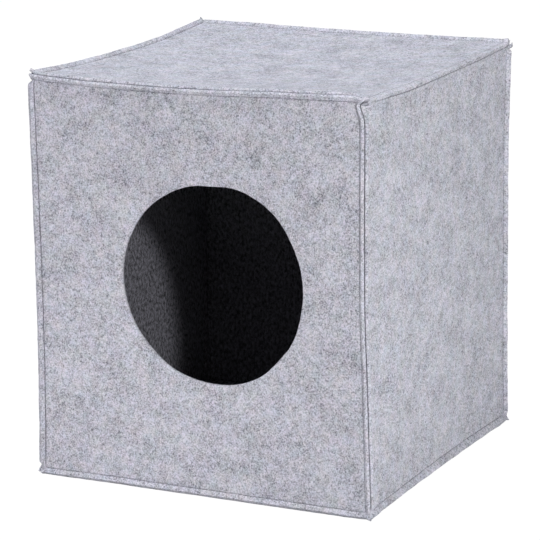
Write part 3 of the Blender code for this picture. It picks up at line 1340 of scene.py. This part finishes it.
@dataclass(frozen=True)
class FeltFinish:
    """Light grey melange felt: pale wool with blue-grey and dark fibres needled through it.

    Args:
        name: The material's name.
        pale: The colour of the palest fibres.
        mid: The felt's usual colour.
        dark: The colour of the darkest fibres.
        cool: The usual colour of its cooler patches.
        warm_or_cold: The tints of its warmer and colder places.
        blue_or_grey: The tints of its bluer and greyer places.
        short: The short fine fibres.
        long: The long broad fibres.
        strand: How much darker a thin strand is.
        usual_strands: How many strands cross at a usual place, so that they darken none.
        clouds: The broad soft clouds.
        wisps: The small wisps.
        grain: The finest grain.
    """

    name: str = "melange_felt"
    pale: Triple = (0.785, 0.759, 0.836)
    mid: Triple = (0.560, 0.546, 0.604)
    dark: Triple = (0.147, 0.143, 0.173)
    cool: Triple = (0.533, 0.544, 0.604)
    warm_or_cold: tuple[Triple, Triple] = ((1.030, 0.988, 1.0), (0.970, 1.012, 1.0))
    blue_or_grey: tuple[Triple, Triple] = ((1.0, 1.0, 1.042), (1.0, 1.0, 0.958))
    short: Fibres = Fibres(4.0, 1.2, 0.45)
    long: Fibres = Fibres(8.5, 2.6, 0.50)
    strand: float = 0.26
    usual_strands: float = 2.3
    clouds: Mottle = Mottle(0.035, 3.5, 0.62, 1.7)
    wisps: Mottle = Mottle(0.19, 1.0, 0.5, 1.10)
    grain: Mottle = Mottle(0.75, 1.0, 0.5, 3.6)

    def tone(self, maker: NodeMaker, group: bpy.types.NodeTree, place: object) -> object:
        """Adds the nodes of the tone.

        Args:
            maker: Adds nodes to the material.
            group: The fibre group.
            place: The place on the sheet.

        Returns:
            The tone about zero: pale fibres above, dark ones below.
        """
        total: object = 0.0
        strands: object = -self.usual_strands
        for fibres in (self.short, self.long):
            node = fibres.over(maker, group, place)
            streaks = maker.math("MULTIPLY", node.outputs["Streaks"], fibres.strength)
            total = maker.math("ADD", total, streaks)
            strands = maker.math("ADD", strands, node.outputs["Strands"])
        total = maker.math("SUBTRACT", total, maker.math("MULTIPLY", strands, self.strand))
        for mottle in (self.clouds, self.wisps, self.grain):
            total = maker.math("ADD", total, mottle.over(maker, place))
        return total

    def colour(self, maker: NodeMaker, tone: object, place: object) -> object:
        """Adds the nodes of the colour.

        Args:
            maker: Adds nodes to the material.
            tone: The felt's tone.
            place: The place on the sheet.

        Returns:
            The colour's socket.
        """
        patch = maker.noise(maker.shift(place, (90.0, 40.0, 7.0)), 0.11, 2.0, 0.55)
        body = maker.mix(maker.span(patch, 0.42, 0.62, 0.0, 1.0), self.mid, self.cool)
        colour = maker.mix(maker.span(tone, 0.0, 1.05, 0.0, 1.0), body, self.pale)
        colour = maker.mix(maker.span(tone, 0.0, -1.3, 0.0, 1.0), colour, self.dark)
        for number, tints in enumerate((self.warm_or_cold, self.blue_or_grey)):
            spread = maker.noise(maker.shift(place, (31.0, 77.0 * number, 5.0)), 0.08, 4.0, 0.8)
            share = maker.span(spread, 0.36, 0.64, 0.0, 1.0)
            colour = maker.scale(colour, maker.mix(share, *tints))
        return colour

    def make(self, group: bpy.types.NodeTree) -> bpy.types.Material:
        """Builds the material.

        Args:
            group: The fibre group.

        Returns:
            The felt's material.
        """
        material, maker = new_material(self.name)
        place = sheet_place(maker)
        tone = self.tone(maker, group, place)
        shading = {"Specular_IOR_Level": 0.2, "Sheen_Weight": 0.08, "Sheen_Roughness": 0.6}
        colour = self.colour(maker, tone, place)
        maker.surface(colour, tone, 0.5, 0.22 * MM, Roughness=0.95, **shading)
        return material


@dataclass(frozen=True)
class LiningFinish:
    """Near-black non-woven lining with faint bonded fibres."""

    name: str = "dark_lining"
    base: Triple = (0.060, 0.059, 0.063)
    pale: Triple = (0.372, 0.363, 0.416)
    fine: Fibres = Fibres(5.0, 0.8)
    grain: Triple = (0.24, 0.40, 0.30)

    def make(self, group: bpy.types.NodeTree) -> bpy.types.Material:
        """Builds the material.

        Args:
            group: The fibre group.

        Returns:
            The lining's material.
        """
        material, maker = new_material(self.name)
        place = sheet_place(maker)
        fine = self.fine.over(maker, group, place)
        grain = maker.noise(maker.scale(place, self.grain), 1.0, 3.0, 0.6)
        tone = maker.math("ADD", fine.outputs["Streaks"], maker.span(grain, 0.3, 0.7, -0.6, 0.6))
        colour = maker.mix(maker.span(tone, -0.5, 0.5, 0.0, 1.0), self.base, self.pale)
        maker.surface(colour, tone, 0.4, 0.15 * MM, Roughness=0.9, Specular_IOR_Level=0.2)
        return material


@dataclass(frozen=True)
class ThreadFinish:
    """Dark blue-grey sewing thread with the twist of its plies, and painted shade in the grooves
    between the plies with a paler painted highlight on their crests.
    """

    name: str = "sewing_thread"
    # dark is the painted shade in the grooves between the plies, pale the painted highlight on
    # their crests
    dark: Triple = (0.035, 0.034, 0.045)
    pale: Triple = (0.110, 0.105, 0.130)
    plies: int = 3
    ply_length: float = 0.9 * MM

    def make(self) -> bpy.types.Material:
        """Builds the material.

        Returns:
            The thread's material.
        """
        material, maker = new_material(self.name)
        place = maker.add("Attribute", {"attribute_name": "thread_place"}).outputs["Vector"]
        axes = maker.add("SeparateXYZ", Vector=place)
        winding = maker.math("MULTIPLY", axes.outputs["X"], 2 * math.pi / self.ply_length)
        spin = maker.math("MULTIPLY", axes.outputs["Y"], float(self.plies))
        relief = maker.math("SINE", maker.math("ADD", winding, spin))
        # The colour follows the plies' relief: painted shade in the grooves, a painted highlight on
        # the crests
        colour = maker.mix(maker.span(relief, -1.0, 1.0, 0.0, 1.0), self.dark, self.pale)
        maker.surface(colour, relief, 0.6, 0.08 * MM, Roughness=0.6)
        return material


# Pieces

# The length of one stitch, from the middle of one hole to the next
STITCH = 4.8 * MM


@dataclass(frozen=True)
class Roll:
    """Where on the roll a sheet was cut: its turn in degrees and its place."""

    turn: float
    place: Pair

    def of(self, across: Array, up: Array, depth: Array) -> Array:
        """Where a flat sheet's points lie on the roll.

        Args:
            across: Flat places across the sheet.
            up: Flat places up the sheet.
            depth: Heights above its inner face.

        Returns:
            One place for each.
        """
        turn = math.radians(self.turn)
        along = across * math.cos(turn) + up * math.sin(turn) + self.place[0]
        over = up * math.cos(turn) - across * math.sin(turn) + self.place[1]
        return np.stack([along, over, depth], axis=-1)


ROLLS = {
    Side.FRONT: Roll(70.0, (0.0, 0.0)),
    Side.BACK: Roll(84.0, (0.7, 0.1)),
    Side.LEFT: Roll(-12.0, (0.1, 0.8)),
    Side.RIGHT: Roll(-20.0, (0.9, 0.9)),
    Side.TOP: Roll(8.0, (1.7, 0.2)),
    Side.BOTTOM: Roll(0.0, (1.8, 1.1)),
}


@dataclass
class FeltPanel:
    """One outer panel of felt.

    Args:
        cave: The box.
        side: Which of its sides this is.
        edge_round: How far the cut edges are rounded.
        trim_edge: How far inside a cut edge its unevenness reaches.
        rim_edge: The same at the entrance's rim.
        press_reach: How far from the stitches the felt is pressed together.
        press_swing: How much more it is pressed at a stitch's ends, as a share.
    """

    cave: Cave
    side: Side
    edge_round: float = 0.55 * MM
    trim_edge: float = 2 * MM
    rim_edge: float = 3 * MM
    press_reach: float = 1.1 * MM
    press_swing: float = 0.33

    @property
    def fold(self) -> Fold:
        """The panel's fold."""
        return Fold(self.cave, self.side)

    def stitch_line(self, turn: Array) -> Array:
        """The flat distance past the edge of the row of stitches, deep in the fold."""
        return -self.fold.start(turn) + self.cave.fold_radius * turn / 2

    def body(self, across: Array, up: Array) -> Array:
        """The share of the felt's full thickness that is left by the stitches.

        Args:
            across: Flat places across the panel.
            up: Flat places up the panel.

        Returns:
            The share at each place.
        """
        half_across, half_up, _ = self.cave.halves(self.side)
        left = np.ones(np.shape(across))
        for axis, place, along, half in ((0, across, up, half_across), (1, up, across, half_up)):
            turn = self.fold.turn(axis, place, along)
            off = (np.abs(place) - half - self.stitch_line(turn)) / self.press_reach
            low, high = (seam.press[self.side is seam.second] for seam in self.fold.seams(axis))
            pinch = np.where(place < 0, low, high)
            pinch = pinch * (1.0 + self.press_swing * np.cos(2 * math.pi * along / STITCH))
            left -= pinch * np.exp(-(off**2))
        return left

    def trimmed(
        self, flat: FlatSheet, across: Array, up: Array, depth: Array
    ) -> tuple[Array, Array]:
        """Moves the places near the cut edges, which are cut by hand and fray a little.

        Args:
            flat: The panel's flat cut.
            across: Flat places across the panel.
            up: Flat places up the panel.
            depth: Heights above the inner face.

        Returns:
            The moved places across and up.
        """
        trim = Ripple(TRIM_SEED + self.side.number, length=0.022, height=0.09 * MM, waves=9)
        frays = Ripple(FRAY_SEED + self.side.number, length=0.0045, height=0.035 * MM, waves=12)
        layer = depth * 3
        reach_across, reach_up = flat.reach
        edge_across = ease((np.abs(across) - reach_across) / self.trim_edge + 1)
        edge_up = ease((np.abs(up) - reach_up) / self.trim_edge + 1)
        ragged_across = trim.at(up, 0.3) + frays.at(up, layer)
        ragged_up = trim.at(across, 0.9) + frays.at(across, layer + 0.7)
        cut_across = across + np.sign(across) * ragged_across * edge_across
        cut_up = up + np.sign(up) * ragged_up * edge_up
        if flat.has_entrance:
            away = np.stack([across - self.cave.entrance_shift, up - self.cave.entrance_rise])
            radius = np.hypot(*away)
            near = 1 - ease((radius - self.cave.entrance_radius) / self.rim_edge)
            swing = np.arctan2(away[1], away[0]) * self.cave.entrance_radius
            ragged = trim.at(swing, 1.7) * 0.7 + frays.at(swing, layer + 1.1)
            cut_across = cut_across + away[0] / radius * ragged * near
            cut_up = cut_up + away[1] / radius * ragged * near
        return cut_across, cut_up

    def build(self) -> bpy.types.Object:
        """Cuts, folds and settles the panel.

        Returns:
            The panel as one piece.
        """
        cut = Cut(self.cave.felt, 0.0, STITCH / 2, FELT_ROWS, self.edge_round)
        flat = FlatSheet(f"{self.side.label}_felt", self.fold, cut)
        sheet = flat.lay_out()
        across, up, depth = read_points(sheet.data).T
        cut_across, cut_up = self.trimmed(flat, across, up, depth)
        keep_place(sheet.data, "felt_place", ROLLS[self.side].of(across, up, depth))
        height = depth * self.body(across, up)
        write_points(sheet.data, self.fold.place(cut_across, cut_up, height))
        flat.hand_over(sheet, f"{self.side.label}_panel")
        return sheet


@dataclass
class LiningSheet:
    """The thin dark sheet behind a felt panel, sewn into the same seams.

    Args:
        cave: The box.
        side: Which of its sides this is.
        thickness: How thick the lining is.
        inset: How far it stops short of the felt's cut edge.
        spacing: The distance between its rows of points.
        behind: How far its inner face lies behind the felt.
        turn: How its fibres lie, in degrees.
    """

    cave: Cave
    side: Side
    thickness: float = 0.28 * MM
    inset: float = 2.6 * MM
    spacing: float = 5.0 * MM
    behind: float = 0.32 * MM
    turn: float = 88.0

    def build(self) -> bpy.types.Object:
        """Cuts, folds and settles the lining.

        Returns:
            The lining as one piece.
        """
        cut = Cut(self.thickness, self.inset, self.spacing, LINING_ROWS)
        fold = Fold(self.cave, self.side)
        flat = FlatSheet(f"{self.side.label}_lining_sheet", fold, cut)
        sheet = flat.lay_out()
        across, up, depth = read_points(sheet.data).T
        roll = Roll(self.turn, ROLLS[self.side].place)
        keep_place(sheet.data, "felt_place", roll.of(across, up, depth))
        write_points(sheet.data, fold.place(across, up, depth - self.behind))
        flat.hand_over(sheet, f"{self.side.label}_lining")
        return sheet


# Where on its unit of length a stitch starts and ends, between its two holes
STITCH_ENDS = (0.022, 0.978)


def model_stitch(rings: int = 8, sides: int = 6) -> bpy.types.Object:
    """Models one straight stitch along x, inside one unit of length and of unit radius.

    Args:
        rings: How many lengths it is cut into, so that it can bend.
        sides: How many sides its thread has.

    Returns:
        The stitch, for every row to repeat.
    """
    drop_selection()
    low, high = STITCH_ENDS
    bpy.ops.mesh.primitive_cylinder_add(
        vertices=sides,
        radius=1.0,
        depth=high - low,
        end_fill_type="TRIFAN",
        location=((low + high) / 2, 0.0, 0.0),
        rotation=(0.0, math.pi / 2, 0.0),
    )
    stitch = bpy.context.active_object
    stitch.name = stitch.data.name = "stitch_model"
    bpy.ops.object.transform_apply(location=True, rotation=True, scale=True)
    set_mode("EDIT")
    for step in range(1, rings):
        bpy.ops.mesh.select_all(action="SELECT")
        cut = low + (high - low) * step / rings
        bpy.ops.mesh.bisect(plane_co=(cut, 0.0, 0.0), plane_no=(1.0, 0.0, 0.0))
    set_mode("OBJECT")
    return stitch


@dataclass
class StitchRow:
    """The stitches along one side of a seam, each a short arch between two holes.

    Args:
        panel: The panel that the row lies on.
        axis: 0 for the seams at the ends across the panel, 1 for those below and above.
        sign: Which of the two seams.
        free: How much of the seam's length has no stitches.
        slip: How far single stitches lie off the line.
        slant: How far single stitches lie askew.
        arch: How high a stitch's middle stands over the felt.
        dip: How far its ends sink into their holes.
        taper: How much thinner its ends look, as a share.
    """

    panel: FeltPanel
    axis: int
    sign: float
    free: float = 3.0 * MM
    slip: float = 0.10 * MM
    slant: float = 0.12 * MM
    arch: float = 0.20 * MM
    dip: float = 0.42 * MM
    taper: float = 0.25

    @property
    def seam(self) -> Seam:
        """The seam that the row belongs to."""
        return self.panel.cave.seam_at(self.panel.side, self.axis, self.sign)

    def copy_along(self, stitch: bpy.types.Object, count: int) -> bpy.types.Object:
        """Copies the stitch a number of times, one unit apart.

        Args:
            stitch: The one straight stitch that every row repeats.
            count: How many stitches the row has.

        Returns:
            The straight row, with a mesh of its own.
        """
        row = stitch.copy()
        row.data = stitch.data.copy()
        row.name = row.data.name = f"stitches_{self.seam.name}_on_{self.panel.side.label}"
        bpy.context.scene.collection.objects.link(row)
        drop_selection()
        row.select_set(True)
        bpy.context.view_layer.objects.active = row
        repeat = row.modifiers.new("repeat", "ARRAY")
        repeat.count = count
        repeat.use_relative_offset = False
        repeat.use_constant_offset = True
        repeat.constant_offset_displace = (1.0, 0.0, 0.0)
        bpy.ops.object.modifier_apply(modifier=repeat.name)
        return row

    def lay(self, row: bpy.types.Object, first: float, count: int) -> None:
        """Lays the straight row along the fold.

        Args:
            row: The straight row.
            first: Where the row starts along the seam.
            count: How many stitches it has.
        """
        panel, seam = self.panel, self.seam
        second = panel.side is seam.second
        draw = np.random.default_rng(STITCH_SEED + seam.number * 2 + int(second))
        straight, aside, above = read_points(row.data).T
        index = np.floor(straight).astype(int)
        share = (straight - index - STITCH_ENDS[0]) / (STITCH_ENDS[1] - STITCH_ENDS[0])
        along = first + straight * STITCH
        slip = draw.normal(0.0, self.slip, count)[index]
        slant = draw.normal(0.0, self.slant, count)[index] * (share - 0.5)
        ends = np.abs(2 * share - 1)
        rise = self.arch * (1 - ends**4) - self.dip * ends**6
        radius = seam.thread[second] * MM
        girth = radius * (1 - self.taper * ends**4)
        half_cross = panel.cave.halves(panel.side)[self.axis]
        turn = panel.fold.turn(self.axis, np.full_like(along, self.sign * half_cross), along)
        cross = self.sign * (half_cross + panel.stitch_line(turn) + slip + slant)
        over, upward = (cross, along) if self.axis == 0 else (along, cross)
        surface = panel.body(over, upward) * panel.cave.felt
        if self.axis == 0:
            over = over + aside * girth
        else:
            upward = upward + aside * girth
        write_points(row.data, panel.fold.place(over, upward, surface + rise + above * girth))
        spun = np.column_stack([along, np.arctan2(above, aside), 0 * along])
        keep_place(row.data, "thread_place", spun)

    def build(self, stitch: bpy.types.Object) -> bpy.types.Object:
        """Makes the row of stitches.

        Args:
            stitch: The one straight stitch that every row repeats.

        Returns:
            The row as one piece.
        """
        side = self.panel.side
        half_along = self.panel.cave.halves(side)[1 - self.axis]
        count = int((2 * half_along - self.free) / STITCH)
        row = self.copy_along(stitch, count)
        self.lay(row, -count * STITCH / 2, count)
        set_mode("EDIT")
        face_outwards()
        set_mode("OBJECT")
        bpy.ops.object.shade_smooth()
        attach(row, "root")
        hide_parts(f"thread_{self.seam.name}_on_{side.label}")
        return row


# The studio

def direction(azimuth: float, elevation: float) -> Vector:
    """The direction from the cave towards a place round it.

    Args:
        azimuth: The turn from the front towards the right side, in degrees.
        elevation: The rise over the level, in degrees.

    Returns:
        The direction, one unit long.
    """
    turn, rise = math.radians(azimuth), math.radians(elevation)
    level = math.cos(rise)
    return Vector((math.sin(turn) * level, -math.cos(turn) * level, math.sin(rise)))


@dataclass(frozen=True)
class Lamp:
    """A soft area lamp that looks at the cave.

    Args:
        name: The lamp's name.
        azimuth: Its turn from the front towards the right side, in degrees.
        elevation: Its rise over the level, in degrees.
        distance: How far it stands from the cave's middle.
        size: The width of its disk.
        level: How brightly it lights the cave.
        colour: Its colour.
        aim: The height over the ground that it looks at.
    """

    name: str
    azimuth: float
    elevation: float
    distance: float
    size: float
    level: float
    colour: Triple = (1.0, 1.0, 1.0)
    aim: float = 0.18

    def place(self) -> None:
        """Puts the lamp in the scene."""
        towards = direction(self.azimuth, self.elevation)
        light = bpy.data.lights.new(self.name, "AREA")
        light.shape = "DISK"
        light.size = self.size
        light.color = self.colour
        light.energy = self.level * math.pi**2 * self.distance**2
        lamp = bpy.data.objects.new(self.name, light)
        lamp.location = Vector((0.0, 0.0, self.aim)) + towards * self.distance
        lamp.rotation_mode = "QUATERNION"
        lamp.rotation_quaternion = towards.to_track_quat("Z", "Y")
        bpy.context.scene.collection.objects.link(lamp)


@dataclass(frozen=True)
class Studio:
    """The pale floor, the lamps, the white surroundings and the camera.

    Args:
        lamps: The lamps.
        surround: How bright the surroundings are to the cave.
        floor_size: The floor's width.
        floor_below: How far below the ground it lies.
        floor_colour: Its colour to the cave.
        floor_glow: How bright it is to the camera.
        floor_share: How much of that glow there is, the rest being its own shadowed colour.
        camera_place: Where the camera stands.
        azimuth: Its turn from the front towards the right side, in degrees.
        elevation: Its rise over the level, in degrees.
        roll: Its turn about its own axis, in degrees.
        focal_pixels: Its focal length in pixels of the photograph.
        image_pixels: The photograph's width in pixels.
        sensor: The sensor's width in millimetres.
        clip: The nearest and the farthest that it sees.
    """

    lamps: tuple[Lamp, ...] = (
        Lamp("key", 44.8, 19.0, 2.2, 0.17, 0.395, (0.980, 0.990, 1.0)),
        Lamp("key_halo", 45.0, 16.0, 2.0, 0.70, 0.08),
        Lamp("window", 93.0, -3.8, 1.5, 0.65, 0.182, (0.940, 1.0, 1.01)),
        Lamp("left_fill", -50.0, -3.9, 0.68, 0.45, 0.155, (1.02, 0.975, 1.02)),
        Lamp("front_glow", -8.0, -24.0, 0.40, 0.08, 0.028),
        Lamp("side_glow", 78.0, -23.0, 0.45, 0.08, 0.045, (0.960, 0.990, 1.01)),
        Lamp("overhead", -66.0, 78.0, 2.4, 1.25, 0.68, (0.940, 0.986, 1.045)),
    )
    surround: float = 0.16
    floor_size: float = 14.0
    floor_below: float = 0.3 * MM
    floor_colour: Triple = (0.66, 0.66, 0.66)
    floor_glow: float = 1.09
    floor_share: float = 0.92
    camera_place: Triple = (1.05325356, -2.14980973, 0.75252374)
    azimuth: float = 26.28341473
    elevation: float = 13.68626162
    roll: float = -0.74461751
    focal_pixels: float = 2683.3359
    image_pixels: float = 540.0
    sensor: float = 36.0
    clip: Pair = (0.05, 60.0)

    def place_camera(self) -> None:
        """Puts the camera where the photograph was taken from."""
        turn, tilt = math.radians(self.azimuth), math.radians(self.roll)
        back = direction(self.azimuth, self.elevation)
        right = Vector((math.cos(turn), math.sin(turn), 0.0))
        up = back.cross(right)
        level = math.cos(tilt) * right + math.sin(tilt) * up
        upright = math.cos(tilt) * up - math.sin(tilt) * right
        data = bpy.data.cameras.new("photo_view")
        data.sensor_width = self.sensor
        data.lens = self.sensor * self.focal_pixels / self.image_pixels
        data.clip_start, data.clip_end = self.clip
        camera = bpy.data.objects.new("photo_view", data)
        frame = Matrix((level, upright, back)).transposed().to_4x4()
        frame.translation = Vector(self.camera_place)
        camera.matrix_world = frame
        bpy.context.scene.collection.objects.link(camera)
        bpy.context.scene.camera = camera

    def floor_finish(self) -> bpy.types.Material:
        """A pale floor that looks white to the camera and keeps a faint shadow.

        Returns:
            The floor's material.
        """
        material, maker = new_material("pale_floor")
        share = maker.math("MULTIPLY", maker.seen_directly(), self.floor_share)
        paint = maker.add("BsdfDiffuse", Color=(*self.floor_colour, 1.0))
        white = maker.add("Emission", Color=(1.0, 1.0, 1.0, 1.0), Strength=self.floor_glow)
        mixed = maker.add("MixShader", i0=share, i1=paint.outputs[0], i2=white.outputs[0])
        maker.add("OutputMaterial", Surface=mixed.outputs[0])
        return material

    def place_floor(self) -> None:
        """Lays the floor under the cave."""
        drop_selection()
        place = (0.0, 0.0, -self.floor_below)
        bpy.ops.mesh.primitive_plane_add(size=self.floor_size, location=place)
        floor = bpy.context.active_object
        floor.name = floor.data.name = "studio_floor"
        floor.data.materials.append(self.floor_finish())

    def place_surround(self) -> None:
        """Makes the surroundings white to the camera and dimmer to the object."""
        world = bpy.data.worlds.new("surround")
        bpy.context.scene.world = world
        world.use_nodes = True
        maker = NodeMaker(world.node_tree)
        strength = maker.span(maker.seen_directly(), 0.0, 1.0, self.surround, 1.0)
        glow = maker.add("Background", Color=(1.0, 1.0, 1.0, 1.0), Strength=strength)
        maker.add("OutputWorld", Surface=glow.outputs[0])

    def build(self) -> None:
        """Sets up the whole studio."""
        self.place_camera()
        self.place_floor()
        self.place_surround()
        for lamp in self.lamps:
            lamp.place()
        bpy.context.scene.view_settings.view_transform = "Standard"


# The whole scene

def corners(box: tuple[Vector, Vector]) -> list[list[float]]:
    """A box's two corners as plain numbers."""
    return [[float(value) for value in corner] for corner in box]


def finish(piece: bpy.types.Object, material: bpy.types.Material) -> None:
    """Gives a piece its material and reports it.

    Args:
        piece: The piece.
        material: What it is made of.
    """
    piece.data.materials.append(material)
    LOG.info("%s: %s, %d faces", piece.name, material.name, len(piece.data.polygons))


def main() -> None:
    """Loads the frame, builds every piece and sets up the studio."""
    logging.basicConfig(level=logging.INFO, format="%(message)s")
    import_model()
    bpy.context.scene.cursor.location = (0.0, 0.0, 0.0)

    fibres = fibre_group()
    felt = FeltFinish().make(fibres)
    lining = LiningFinish().make(fibres)
    thread = ThreadFinish().make()

    stitch = model_stitch()
    for side in Side:
        panel = FeltPanel(CAVE, side)
        finish(panel.build(), felt)
        finish(LiningSheet(CAVE, side).build(), lining)
        for axis in (0, 1):
            for sign in (-1.0, 1.0):
                finish(StitchRow(panel, axis, sign).build(stitch), thread)
    bpy.data.objects.remove(stitch, do_unlink=True)

    Studio().build()


if __name__ == "__main__":
    main()
